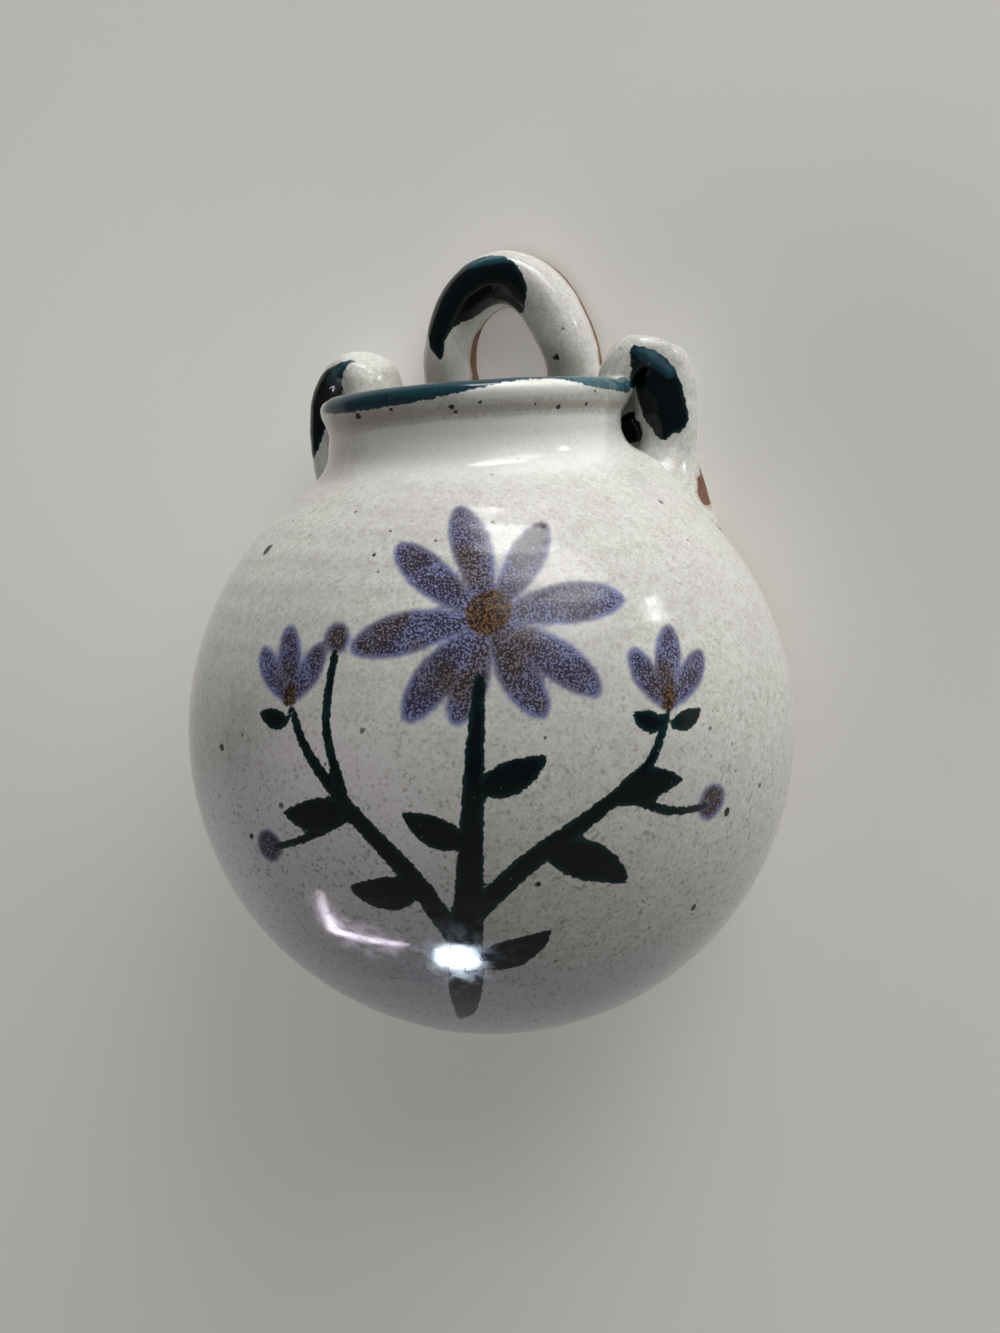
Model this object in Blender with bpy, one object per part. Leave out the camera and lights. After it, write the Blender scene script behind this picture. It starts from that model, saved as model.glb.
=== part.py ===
"""Wall vase in stoneware: a thrown globe with a short neck, cut flat behind and closed by a
round slab, with an arched hanging loop at the back of the rim and a coiled lug on each side.

The pieces are luted together with slip and fired, so nothing moves. The wall plane is Y = 0 and
the front faces -Y. The origin is where a nail in the wall takes the underside of the loop.
"""

import math

import bmesh
import bpy
from mathutils import Vector

# Thrown body
GLOBE_RADIUS = 0.055
WALL_THICKNESS = 0.0048
NECK_RADIUS = 0.0261
NECK_FILLET = 0.007
NECK_RISE = 0.0022
LIP_FLARE = 0.0015
LIP_RISE = 0.0046
LIP_THICKNESS = 0.0048
LIP_CROWN = 0.0021

# Flat back, which shaves the lip where the two meet
LIP_TRIM = 0.0006
SLAB_THICKNESS = 0.006

# Hanging loop, an arch whose legs run down behind the neck to the shoulder
LOOP_HEIGHT = 0.0271
LOOP_SPRING_WIDTH = 0.025
LOOP_ARCH_RISE = 0.018
LOOP_LEAN = 12.0
LOOP_STRAP_WIDTH = 0.0103
LOOP_STRAP_DEPTH = 0.0098
LOOP_BACK_SQUARENESS = 0.6
LOOP_FOOT_FLARE = 0.0012

# Side lugs, each bent in an upright plane through the globe's axis
RIGHT_LUG_AZIMUTH = 117.0
RIGHT_LUG_RISE = 0.0022
RIGHT_LUG_SPREAD = 0.0002
LEFT_LUG_AZIMUTH = -114.0
LEFT_LUG_RISE = 0.004
LEFT_LUG_SPREAD = 0.0024
LUG_SEAT_DROP = 0.0016
LUG_SEAT_PINCH = 0.0007
LUG_THICKNESS = 0.008
LUG_SWELL = 0.0007
LUG_WIDTH = 0.013
LUG_FOOT_HEIGHT = 0.0085
LUG_FOOT_FLARE = 0.0022

# Slip joints: the gap between luted faces
JOINT_GAP = 0.0003

# Facets, and the least angle of an edge that shades sharp
TURN_STEPS = 60
GLOBE_STEPS = 24
FILLET_STEPS = 5
LIP_STEPS = 5
ARCH_STEPS = 24
LOOP_LEG_STEPS = 6
LUG_SEAT_STEPS = 4
LUG_BEND_STEPS = 12
LUG_LEG_STEPS = 16
COIL_SIDES = 20
SHARP_EDGE = 40.0

# Places worked out from the sizes above, measured from the globe's centre
FILLET_RHO = NECK_RADIUS + NECK_FILLET
FILLET_HEIGHT = math.sqrt((GLOBE_RADIUS + NECK_FILLET) ** 2 - FILLET_RHO**2)
LIP_HEIGHT = FILLET_HEIGHT + NECK_RISE + LIP_RISE
LIP_RADIUS = NECK_RADIUS + LIP_FLARE
RIM_TOP = LIP_HEIGHT + LIP_CROWN
LOOP_CROWN = RIM_TOP + LOOP_HEIGHT
NAIL_HEIGHT = LOOP_CROWN - LOOP_STRAP_WIDTH
BACK_DEPTH = LIP_RADIUS - LIP_TRIM


def clear_scene():
    for obj in list(bpy.data.objects):
        bpy.data.objects.remove(obj)


def clay(name, colour, roughness):
    material = bpy.data.materials.new(name)
    material.use_nodes = True
    shader = material.node_tree.nodes["Principled BSDF"]
    shader.inputs["Base Color"].default_value = (*colour, 1.0)
    shader.inputs["Roughness"].default_value = roughness
    shader.inputs["Metallic"].default_value = 0.0
    return material


def arc(centre, radii, start, end, count):
    """Points along an ellipse's arc, from start to end in degrees, both ends included."""
    points = []
    for i in range(count + 1):
        angle = math.radians(start + (end - start) * i / count)
        points.append((centre[0] + radii[0] * math.cos(angle), centre[1] + radii[1] * math.sin(angle)))
    return points


def eased(share):
    """Runs from 0 to 1 with level ends."""
    share = min(1.0, max(0.0, share))
    return share * share * (3 - 2 * share)


def s_curve(start, end, count):
    """Points between two upright tangents, without the end points."""
    points = []
    for i in range(1, count):
        share = i / count
        across = start[0] + (end[0] - start[0]) * eased(share)
        points.append((across, start[1] + (end[1] - start[1]) * share))
    return points


def pot_side(grow):
    """The pot's side from the bottom pole to the top of its neck, moved out by grow."""
    shoulder = math.degrees(math.atan2(FILLET_HEIGHT, FILLET_RHO))
    side = arc((0, 0), (GLOBE_RADIUS + grow,) * 2, -90, shoulder, GLOBE_STEPS)
    side[0] = (0.0, -GLOBE_RADIUS - grow)
    fillet = arc(
        (FILLET_RHO, FILLET_HEIGHT), (NECK_FILLET - grow,) * 2, shoulder - 180, -180, FILLET_STEPS
    )
    return side + fillet[1:] + [(NECK_RADIUS + grow, FILLET_HEIGHT + NECK_RISE)]


def lip_outside(grow):
    """From above the neck to the crown of the lip."""
    bead = LIP_THICKNESS / 2
    start = (NECK_RADIUS + grow, FILLET_HEIGHT + NECK_RISE)
    end = (LIP_RADIUS + grow, LIP_HEIGHT)
    crown = arc((LIP_RADIUS - bead, LIP_HEIGHT), (bead + grow, LIP_CROWN + grow), 0, 90, LIP_STEPS)
    return s_curve(start, end, LIP_STEPS) + crown


def filled_outline(grow):
    """The pot's outer skin closed across its mouth, as a profile from pole to axis."""
    profile = pot_side(grow) + lip_outside(grow)
    return profile + [(0.0, profile[-1][1])]


def wall_outline():
    """The thrown wall: up the outside, over the lip and down the inside."""
    bead = LIP_THICKNESS / 2
    inside = pot_side(-WALL_THICKNESS)
    inside.reverse()
    over = arc((LIP_RADIUS - bead, LIP_HEIGHT), (bead, LIP_CROWN), 90, 180, LIP_STEPS)
    throat = s_curve(inside[0], (LIP_RADIUS - LIP_THICKNESS, LIP_HEIGHT), LIP_STEPS)
    throat.reverse()
    return pot_side(0) + lip_outside(0) + over[1:] + throat + inside


def turned(name, profile):
    """A solid turned about the globe's axis from a profile that starts and ends on it."""
    mesh = bmesh.new()
    verts = [mesh.verts.new((rho, 0, z)) for rho, z in profile]
    edges = [mesh.edges.new(pair) for pair in zip(verts, verts[1:])]
    bmesh.ops.spin(
        mesh, geom=verts + edges, cent=(0, 0, 0), axis=(0, 0, 1),
        angle=2 * math.pi, steps=TURN_STEPS, use_merge=True,
    )
    bmesh.ops.remove_doubles(mesh, verts=mesh.verts, dist=1e-6)
    bmesh.ops.recalc_face_normals(mesh, faces=mesh.faces)
    return as_object(name, mesh)


def globe(name, grow):
    """The globe alone, without its neck."""
    profile = arc((0, 0), (GLOBE_RADIUS + grow,) * 2, -90, 90, GLOBE_STEPS)
    profile[0] = (0.0, -GLOBE_RADIUS - grow)
    profile[-1] = (0.0, GLOBE_RADIUS + grow)
    return turned(name, profile)


def as_object(name, mesh):
    data = bpy.data.meshes.new(name)
    mesh.to_mesh(data)
    mesh.free()
    data.shade_smooth()
    data.set_sharp_from_angle(angle=math.radians(SHARP_EDGE))
    obj = bpy.data.objects.new(name, data)
    bpy.context.scene.collection.objects.link(obj)
    obj.parent = bpy.data.objects["globe_centre"]
    return obj


def block(name, low, high):
    """A box between two corners."""
    mesh = bmesh.new()
    bmesh.ops.create_cube(mesh, size=1)
    for vert in mesh.verts:
        vert.co = [low[i] + (high[i] - low[i]) * (vert.co[i] + 0.5) for i in range(3)]
    return as_object(name, mesh)


def coil(name, line, side, halves, squareness):
    """A pulled coil of clay along a line in one plane. side is the unit vector across that plane,
    and halves gives the half thickness in the plane and the half width across it at each point.
    A squareness under 1 flattens the coil on the side that the vector points to."""
    mesh = bmesh.new()
    rings = []
    for i, point in enumerate(line):
        ahead = line[min(i + 1, len(line) - 1)] - line[max(i - 1, 0)]
        normal = side.cross(ahead.normalized())
        thick, wide = halves[i]
        ring = []
        for k in range(COIL_SIDES):
            across = math.cos(2 * math.pi * k / COIL_SIDES)
            out = math.sin(2 * math.pi * k / COIL_SIDES)
            if out > 0:
                across = math.copysign(abs(across) ** squareness, across)
                out = out**squareness
            ring.append(mesh.verts.new(point + normal * thick * across + side * wide * out))
        rings.append(ring)
    for ring, following in zip(rings, rings[1:]):
        for k in range(COIL_SIDES):
            beside = (k + 1) % COIL_SIDES
            mesh.faces.new((ring[k], ring[beside], following[beside], following[k]))
    mesh.faces.new(reversed(rings[0]))
    mesh.faces.new(rings[-1])
    bmesh.ops.recalc_face_normals(mesh, faces=mesh.faces)
    return as_object(name, mesh)


def helper(obj):
    obj.hide_render = True
    obj.display_type = "WIRE"
    return obj


def boolean(obj, other, operation):
    modifier = obj.modifiers.new(operation.lower() + "_" + other.name, "BOOLEAN")
    modifier.operation = operation
    modifier.object = other
    modifier.solver = "EXACT"


def loop_line():
    """The arch's centreline, from inside the shoulder over the crown and back. Each leg bows
    out as it runs down, and leans out by LOOP_LEAN at its foot."""
    half = LOOP_SPRING_WIDTH / 2
    depth = BACK_DEPTH - LOOP_STRAP_DEPTH / 2
    spring = LOOP_CROWN - LOOP_STRAP_WIDTH / 2 - LOOP_ARCH_RISE
    foot = math.sqrt(GLOBE_RADIUS**2 - BACK_DEPTH**2 - (half + LOOP_STRAP_WIDTH) ** 2)
    fall = spring - foot
    slope = math.tan(math.radians(LOOP_LEAN))
    leg = []
    for i in range(LOOP_LEG_STEPS):
        drop = fall * (1 - i / LOOP_LEG_STEPS)
        leg.append((half + slope * drop * drop / (2 * fall), spring - drop))
    arch = arc((0, spring), (half, LOOP_ARCH_RISE), 0, 180, ARCH_STEPS)
    other = [(-x, z) for x, z in reversed(leg)]
    return [Vector((x, depth, z)) for x, z in leg + arch + other]


def build_loop(material):
    line = loop_line()
    halves = []
    for point in line:
        flare = LOOP_FOOT_FLARE * eased((LIP_HEIGHT - point.z) / (LIP_HEIGHT - line[0].z))
        halves.append((LOOP_STRAP_WIDTH / 2 + flare, LOOP_STRAP_DEPTH / 2 + flare))
    loop = coil("hanging_loop", line, Vector((0, 1, 0)), halves, LOOP_BACK_SQUARENESS)
    loop.data.materials.append(material)
    return loop


def build_lug(name, azimuth, rise, spread, material):
    """A coil from its seat on the lip, over its bend and down into the shoulder. spread is the
    width that its bend leaves open."""
    turn = math.radians(azimuth)
    outward = Vector((math.sin(turn), -math.cos(turn), 0))
    side = Vector((0, 0, 1)).cross(outward)
    start = LIP_HEIGHT - LUG_SEAT_DROP
    bend = LIP_HEIGHT + rise
    radius = (LUG_THICKNESS + spread) / 2
    leg = LIP_RADIUS + 2 * radius
    shoulder = math.sqrt(GLOBE_RADIUS**2 - leg**2)
    middle = (bend + shoulder) / 2
    widest = leg + LUG_THICKNESS / 2 + LUG_SWELL + LUG_FOOT_FLARE
    foot = math.sqrt(GLOBE_RADIUS**2 - widest**2) - LUG_FOOT_FLARE
    seat = [(LIP_RADIUS, start + (bend - start) * i / LUG_SEAT_STEPS) for i in range(LUG_SEAT_STEPS)]
    over = arc((LIP_RADIUS + radius, bend), (radius, radius), 180, 0, LUG_BEND_STEPS)
    step = (bend - foot) / LUG_LEG_STEPS
    down = [(leg, bend - step * (i + 1)) for i in range(LUG_LEG_STEPS)]
    halves = []
    for _, z in seat:
        pinch = LUG_SEAT_PINCH * eased((bend - z) / (bend - start))
        halves.append((LUG_THICKNESS / 2 - pinch, LUG_WIDTH / 2))
    for _, z in over + down:
        swell = LUG_SWELL * eased((bend - z) / (bend - middle))
        swell += LUG_FOOT_FLARE * eased((shoulder + LUG_FOOT_HEIGHT - z) / LUG_FOOT_HEIGHT)
        halves.append((LUG_THICKNESS / 2 + swell, LUG_WIDTH / 2 + swell))
    line = [outward * rho + Vector((0, 0, z)) for rho, z in seat + over + down]
    lug = coil(name, line, side, halves, 1)
    lug.data.materials.append(material)
    return lug


def main():
    clear_scene()
    centre = bpy.data.objects.new("globe_centre", None)
    bpy.context.scene.collection.objects.link(centre)
    centre.location = (0, -BACK_DEPTH, -NAIL_HEIGHT)

    glaze = clay("speckled_white_glaze", (0.70, 0.70, 0.66), 0.3)
    bare = clay("toasted_stoneware", (0.33, 0.17, 0.10), 0.85)

    reach = 2 * GLOBE_RADIUS
    seam = BACK_DEPTH - SLAB_THICKNESS
    before_slab = helper(block("before_slab", (-reach, -reach, -reach), (reach, seam, reach)))
    before_seam = helper(block("before_seam", (-reach, -reach, -reach), (reach, seam - JOINT_GAP, reach)))
    inside_wall = helper(block("inside_wall", (-reach, BACK_DEPTH, -reach), (reach, reach, 2 * reach)))
    slice_room = helper(globe("slice_room", JOINT_GAP))
    boolean(slice_room, before_seam, "DIFFERENCE")
    envelope = helper(turned("pot_envelope", filled_outline(JOINT_GAP)))

    body = turned("thrown_body", wall_outline())
    body.data.materials.append(glaze)
    boolean(body, inside_wall, "DIFFERENCE")
    boolean(body, slice_room, "DIFFERENCE")

    slab = globe("back_slab", 0)
    slab.data.materials.append(bare)
    boolean(slab, before_slab, "DIFFERENCE")
    boolean(slab, inside_wall, "DIFFERENCE")

    for piece in (
        build_loop(glaze),
        build_lug("right_lug", RIGHT_LUG_AZIMUTH, RIGHT_LUG_RISE, RIGHT_LUG_SPREAD, glaze),
        build_lug("left_lug", LEFT_LUG_AZIMUTH, LEFT_LUG_RISE, LEFT_LUG_SPREAD, glaze),
    ):
        boolean(piece, envelope, "DIFFERENCE")
        boolean(piece, inside_wall, "DIFFERENCE")


main()
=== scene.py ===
"""Wall vase in speckled white stoneware: a thrown globe with a short neck, closed behind by a flat
slab, with an arched hanging loop and a coiled lug on each side, and loose brushwork under its glaze."""

import math

import bpy
import numpy as np
from mathutils import Euler, Matrix, Vector, noise


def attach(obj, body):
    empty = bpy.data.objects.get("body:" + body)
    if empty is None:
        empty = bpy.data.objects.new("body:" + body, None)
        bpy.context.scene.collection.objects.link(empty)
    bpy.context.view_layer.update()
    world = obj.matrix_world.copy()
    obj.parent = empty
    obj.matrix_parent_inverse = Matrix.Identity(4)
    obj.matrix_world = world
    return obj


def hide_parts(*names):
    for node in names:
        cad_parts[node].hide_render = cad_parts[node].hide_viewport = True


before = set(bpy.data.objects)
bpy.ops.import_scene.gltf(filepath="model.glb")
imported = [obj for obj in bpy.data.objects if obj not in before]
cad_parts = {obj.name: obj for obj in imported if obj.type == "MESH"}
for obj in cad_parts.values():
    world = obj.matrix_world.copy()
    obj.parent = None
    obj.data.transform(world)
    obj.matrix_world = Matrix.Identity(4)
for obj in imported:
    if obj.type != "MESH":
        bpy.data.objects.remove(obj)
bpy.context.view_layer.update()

# Thrown body: one wall of buff stoneware turned on the wheel, globe, neck and rolled lip in one
# go. Its back was sliced off for the slab, and the lip shaved where it meets the wall. It is
# dipped in a speckled white glaze over brushwork in cobalt and iron.
GLOBE_CENTRE = np.array((0.0, -0.027, -0.0781254))
MM = 0.001

# Sizes in mm, measured from the globe's centre
GLOBE_RADIUS = 55.0
WALL = 4.8
NECK_RADIUS = 26.1
NECK_FILLET = 7.0
NECK_RISE = 2.2
LIP_RADIUS = 27.6
LIP_RISE = 4.6
LIP_BEAD = 2.4
LIP_CROWN = 2.1
BACK_PLANE = 27.0
SEAM_PLANE = 21.0
SEAM_GAP = 0.05
LIP_SHIFT = 0.75
LIP_TILT = 0.009
LEAN_FROM = 50.0
LEAN_RISE = 9.0
# Clay smeared on by the right lug: (centre, radius, push)
SMEARS = (
    ((29.5, 8.0, 46.0), 13.0, (1.0, -0.3, 2.2)),
    ((25.5, 8.0, 61.0), 6.5, (0.4, 0.0, 1.0)),
)
# How far the throwing rings stand apart and how deep they are, and how uneven the wall is
RING_PITCH = 4.2
RING_DEPTH_LOW = 0.012
RING_DEPTH_GAIN = 0.03
RINGS_DEEPER_INSIDE = 2.2
SLOW_SWELL = 0.22
QUICK_SWELL = 0.06
LIP_LUMPS = 0.1
# A cutting block reaches this far, past every side of the pot
PAST_ALL = 2 * GLOBE_RADIUS
FILLET_RHO = NECK_RADIUS + NECK_FILLET
FILLET_HEIGHT = math.sqrt((GLOBE_RADIUS + NECK_FILLET) ** 2 - FILLET_RHO**2)
LIP_HEIGHT = FILLET_HEIGHT + NECK_RISE + LIP_RISE
RIM_TOP = LIP_HEIGHT + LIP_CROWN
SHOULDER_ANGLE = math.degrees(math.atan2(FILLET_HEIGHT, FILLET_RHO))


def curve_points(centre, radii, start, end, count):
    """Points along an ellipse's arc, both ends included."""
    angles = np.radians(np.linspace(start, end, count + 1))
    return np.stack((centre[0] + radii[0] * np.cos(angles), centre[1] + radii[1] * np.sin(angles)), 1)


def eased(share):
    """Runs from 0 to 1 with level ends."""
    share = np.clip(share, 0.0, 1.0)
    return share * share * (3 - 2 * share)


def ogee(start, end, count):
    """Points between two upright tangents, without the first."""
    share = np.arange(1, count + 1) / count
    across = start[0] + (end[0] - start[0]) * eased(share)
    return np.stack((across, start[1] + (end[1] - start[1]) * share), 1)


def pot_outside(globe_steps, fillet_steps, neck_steps, lip_steps):
    """The pot's side as (distance from the axis, height), from the bottom to the lip's crown."""
    side = curve_points((0, 0), (GLOBE_RADIUS,) * 2, -90, SHOULDER_ANGLE, globe_steps)
    fillet = curve_points(
        (FILLET_RHO, FILLET_HEIGHT), (NECK_FILLET,) * 2, SHOULDER_ANGLE - 180, -180, fillet_steps
    )
    neck_top = (NECK_RADIUS, FILLET_HEIGHT + NECK_RISE)
    neck = ogee(fillet[-1], neck_top, neck_steps)
    flare = ogee(neck_top, (LIP_RADIUS, LIP_HEIGHT), lip_steps)
    bead = curve_points((LIP_RADIUS - LIP_BEAD, LIP_HEIGHT), (LIP_BEAD, LIP_CROWN), 0, 90, lip_steps)
    return np.concatenate((side, fillet[1:], neck, flare, bead[1:]))


def pot_inside(globe_steps, lip_steps):
    """The inner side, from the lip's crown down to the bottom."""
    over = curve_points((LIP_RADIUS - LIP_BEAD, LIP_HEIGHT), (LIP_BEAD, LIP_CROWN), 90, 180, lip_steps)
    throat_top = over[-1]
    grown = NECK_FILLET + WALL
    fillet = curve_points(
        (FILLET_RHO, FILLET_HEIGHT), (grown,) * 2, -180, SHOULDER_ANGLE - 180, lip_steps
    )
    throat = ogee(throat_top, fillet[0], lip_steps)
    side = curve_points((0, 0), (GLOBE_RADIUS - WALL,) * 2, SHOULDER_ANGLE, -90, globe_steps)
    return np.concatenate((over[1:], throat, fillet[1:], side[1:]))


def azimuths(fine_from, fine_to, fine_step, coarse_step):
    """Angles round the axis, close together over the front that carries the brushwork."""
    fine = np.arange(fine_from, fine_to, fine_step)
    rest = 360 - (fine_to - fine_from)
    coarse = fine_to + rest * np.arange(int(rest / coarse_step)) / int(rest / coarse_step)
    return np.radians(np.concatenate((fine, coarse)))


def bands(rings, count):
    """Faces that join each closed ring of points to the next."""
    here = np.arange(count)
    beside = (here + 1) % count
    faces = []
    for low in range(0, (rings - 1) * count, count):
        high = low + count
        faces += np.stack((low + here, low + beside, high + beside, high + here), 1).tolist()
    return faces


def ring_wall(profile, angles):
    """Points and faces of a profile turned about the globe's axis. Its ends lie on the axis."""
    inner = profile[1:-1]
    x = inner[:, :1] * np.sin(angles)
    y = -inner[:, :1] * np.cos(angles)
    z = np.repeat(inner[:, 1:], len(angles), 1)
    grid = np.stack((x, y, z), 2).reshape(-1, 3)
    poles = np.array(((0, 0, profile[0][1]), (0, 0, profile[-1][1])))
    count = len(angles)
    first, last = len(grid), len(grid) + 1
    top = (len(inner) - 1) * count
    faces = bands(len(inner), count)
    faces += [[first, (i + 1) % count, i] for i in range(count)]
    faces += [[last, top + i, top + (i + 1) % count] for i in range(count)]
    return np.concatenate((grid, poles)), faces


def clay_piece(name, points, faces):
    """A smooth-shaded mesh from points in mm about the globe's centre."""
    mesh = bpy.data.meshes.new(name)
    mesh.from_pydata((np.asarray(points) * MM + GLOBE_CENTRE).tolist(), [], faces)
    mesh.shade_smooth()
    piece = bpy.data.objects.new(name, mesh)
    bpy.context.scene.collection.objects.link(piece)
    return piece


def points_of(piece):
    """A piece's points in mm about the globe's centre."""
    flat = np.zeros(len(piece.data.vertices) * 3, np.float32)
    piece.data.vertices.foreach_get("co", flat)
    return (flat.reshape(-1, 3).astype(float) - GLOBE_CENTRE) / MM


def put_points(piece, points):
    """Moves a piece's points to new places in mm about the globe's centre."""
    flat = (points * MM + GLOBE_CENTRE).astype(np.float32)
    piece.data.vertices.foreach_set("co", flat.ravel())
    piece.data.update()


def normals_of(piece):
    """The way out of the surface at each of a piece's points."""
    flat = np.zeros(len(piece.data.vertices) * 3, np.float32)
    piece.data.vertices.foreach_get("normal", flat)
    return flat.reshape(-1, 3).astype(float)


def unit_rows(vectors):
    """Vectors, one a row, brought to a length of 1."""
    return vectors / np.maximum(np.linalg.norm(vectors, axis=1), 1e-6)[:, None]


def unevenness(points, size, seed):
    """Soft noise about 0 at each point, with lumps of about the given size in mm."""
    shift = Vector((seed * 17.3, seed * 5.1, seed * 9.7))
    return np.array([noise.noise(Vector(p) / size + shift) for p in points])


def cut_away(piece, cutters):
    """Cuts solids out of a piece and keeps the result as its mesh."""
    for cutter in cutters:
        cut = piece.modifiers.new("cut", "BOOLEAN")
        cut.operation = "DIFFERENCE"
        cut.solver = "EXACT"
        cut.object = cutter
    bpy.context.view_layer.update()
    graph = bpy.context.evaluated_depsgraph_get()
    mesh = bpy.data.meshes.new_from_object(piece.evaluated_get(graph))
    piece.modifiers.clear()
    piece.data = mesh
    for cutter in cutters:
        bpy.data.objects.remove(cutter)


def lean(points):
    """The neck leans a little to the right, and its lip rises that way."""
    share = eased((points[:, 2] - LEAN_FROM) / LEAN_RISE)
    moved = points.copy()
    moved[:, 0] += LIP_SHIFT * share
    moved[:, 2] += LIP_TILT * points[:, 0] * share
    return moved


def smeared_clay(points):
    """Heaps the smeared clay up on the pot."""
    moved = points.copy()
    for centre, radius, push in SMEARS:
        away = np.linalg.norm(points - np.array(centre), axis=1)
        moved += (np.clip(1 - (away / radius) ** 2, 0, 1) ** 2)[:, None] * np.array(push)
    return moved


def block_of(name, low, high):
    """A cutting block between two corners."""
    x, y, z = zip(low, high)
    corners = [(x[i], y[j], z[k]) for i in (0, 1) for j in (0, 1) for k in (0, 1)]
    sides = [(0, 1, 3, 2), (4, 6, 7, 5), (0, 4, 5, 1), (2, 3, 7, 6), (0, 2, 6, 4), (1, 5, 7, 3)]
    return clay_piece(name, corners, sides)


body_outside = pot_outside(globe_steps=170, fillet_steps=16, neck_steps=5, lip_steps=9)
body_inside = pot_inside(globe_steps=48, lip_steps=8)
body_angles = azimuths(fine_from=-75, fine_to=115, fine_step=0.95, coarse_step=3.0)
body_wall = ring_wall(np.concatenate((body_outside, body_inside)), body_angles)
body = clay_piece("thrown_body_glazed", *body_wall)
at = points_of(body)
outward = normals_of(body)
# The throwing rings wind up the wall, deeper above its middle, and the wall swells unevenly. Near
# the back it runs true, where the slab meets it.
turns = np.arctan2(at[:, 0], -at[:, 1]) / (2 * np.pi)
rings = np.sin(2 * np.pi * (at[:, 2] / RING_PITCH + turns) + 2.2 * unevenness(at, size=30, seed=3))
rings *= RING_DEPTH_LOW + RING_DEPTH_GAIN * eased((at[:, 2] - 12) / 26)
swell = SLOW_SWELL * unevenness(at, size=34, seed=1) + QUICK_SWELL * unevenness(at, size=11, seed=2)
outside = np.einsum("ij,ij->i", outward, at) > 0
swell = np.where(outside, swell + rings, RINGS_DEEPER_INSIDE * rings)
lip_share = eased((at[:, 2] - FILLET_HEIGHT) / 4)
swell = swell * (1 - 0.4 * lip_share) + LIP_LUMPS * lip_share * unevenness(at, size=5, seed=4)
before_back = eased((BACK_PLANE + 4 - at[:, 1]) / 8)
put_points(body, at + outward * (swell * before_back)[:, None])

# The slice for the slab, and whatever would stand in the wall, comes off
behind = block_of("behind", (-PAST_ALL, BACK_PLANE, -PAST_ALL), (PAST_ALL, PAST_ALL, 2 * PAST_ALL))
slice_profile = curve_points((0, 0), (GLOBE_RADIUS + SEAM_GAP,) * 2, -90, 90, 90)
slab_slice = clay_piece("slab_slice", *ring_wall(slice_profile, np.radians(np.arange(0, 360, 2))))
seam_corner = (PAST_ALL, SEAM_PLANE - SEAM_GAP, PAST_ALL)
cut_away(slab_slice, [block_of("before_seam", (-PAST_ALL,) * 3, seam_corner)])
cut_away(body, [behind, slab_slice])
body.data.shade_smooth()
body.data.set_sharp_from_angle(angle=math.radians(35))

# The brushwork is laid out on the painter's plane: mm across and up from the middle of the front
PAINT_AZIMUTH = math.radians(19)
PAINT_ELEVATION = math.radians(2)
front = np.array((
    math.sin(PAINT_AZIMUTH) * math.cos(PAINT_ELEVATION),
    -math.cos(PAINT_AZIMUTH) * math.cos(PAINT_ELEVATION),
    math.sin(PAINT_ELEVATION),
))
across_front = np.array((math.cos(PAINT_AZIMUTH), math.sin(PAINT_AZIMUTH), 0.0))
up_front = np.cross(front, across_front)


def painters_plane(points):
    """Where points on the globe lie on the painter's plane."""
    away = unit_rows(points)
    angle = np.arccos(np.clip(away @ front, -1, 1))
    across, up = away @ across_front, away @ up_front
    length = np.maximum(np.hypot(across, up), 1e-9)
    return np.stack((across, up), 1) * (angle * GLOBE_RADIUS / length)[:, None]


def brush_path(knots, count):
    """A smooth run of (place..., half width) through the knots."""
    knots = np.array(knots, float)
    padded = np.concatenate((2 * knots[:1] - knots[1:2], knots, 2 * knots[-1:] - knots[-2:-1]))
    run = []
    for i in range(len(knots) - 1):
        a, b, c, d = padded[i : i + 4]
        for t in np.linspace(0, 1, count, endpoint=False):
            run.append(0.5 * (2 * b + (c - a) * t + (2 * a - 5 * b + 4 * c - d) * t**2
                              + (3 * b - a - 3 * c + d) * t**3))
    run.append(knots[-1])
    return np.array(run)


# How deep a point counts as lying in a finish: where no brush came near, and where it is all bare
CLEAR = -20.0
WELL_INSIDE = 5.0


def inside_stroke(places, knots, count=6):
    """How deep in mm each place lies inside a brush stroke. Outside it is less than 0."""
    run = brush_path(knots, count)
    best = np.full(len(places), CLEAR)
    for a, b in zip(run, run[1:]):
        along = b[:-1] - a[:-1]
        offset = places - a[:-1]
        share = np.clip(offset @ along / max(along @ along, 1e-9), 0, 1)
        gap = np.linalg.norm(offset - share[:, None] * along, axis=1)
        best = np.maximum(best, a[-1] + share * (b[-1] - a[-1]) - gap)
    return best


def strokes(places, many):
    """How deep in mm each place lies inside the nearest of many strokes."""
    best = np.full(len(places), CLEAR)
    for knots in many:
        best = np.maximum(best, inside_stroke(places, knots))
    return best


def pressed_brush(root, angle, fatness, width, reach, sideways):
    """Knots (across, up, half width) of a brush laid down at root and drawn away at an angle."""
    ray = np.array((math.cos(math.radians(angle)), math.sin(math.radians(angle))))
    side = np.array((-ray[1], ray[0]))
    knots = []
    for share, fat in fatness:
        place = np.array(root) + ray * reach(share) + side * sideways(share)
        knots.append((*place, width / 2 * fat))
    return knots


def petal(heart, angle, length, width, bend=0.0, start=2.0):
    """A dab pulled outward from a flower's heart, blunt at both ends."""
    fatness = ((0.0, 0.35), (0.3, 0.78), (0.62, 1.0), (0.86, 0.8), (1.0, 0.42))
    run = length - width / 2 * fatness[-1][1]
    return pressed_brush(heart, angle, fatness, width, lambda s: start + run * s, lambda s: bend * s * s)


def leaf(root, angle, length, width, bend=0.0):
    """An almond leaf in one press of the brush."""
    fatness = ((0.0, 0.12), (0.2, 0.62), (0.45, 1.0), (0.75, 0.66), (1.0, 0.08))
    return pressed_brush(
        root, angle, fatness, width, lambda s: length * s, lambda s: bend * math.sin(math.pi * s * 0.9)
    )


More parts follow.
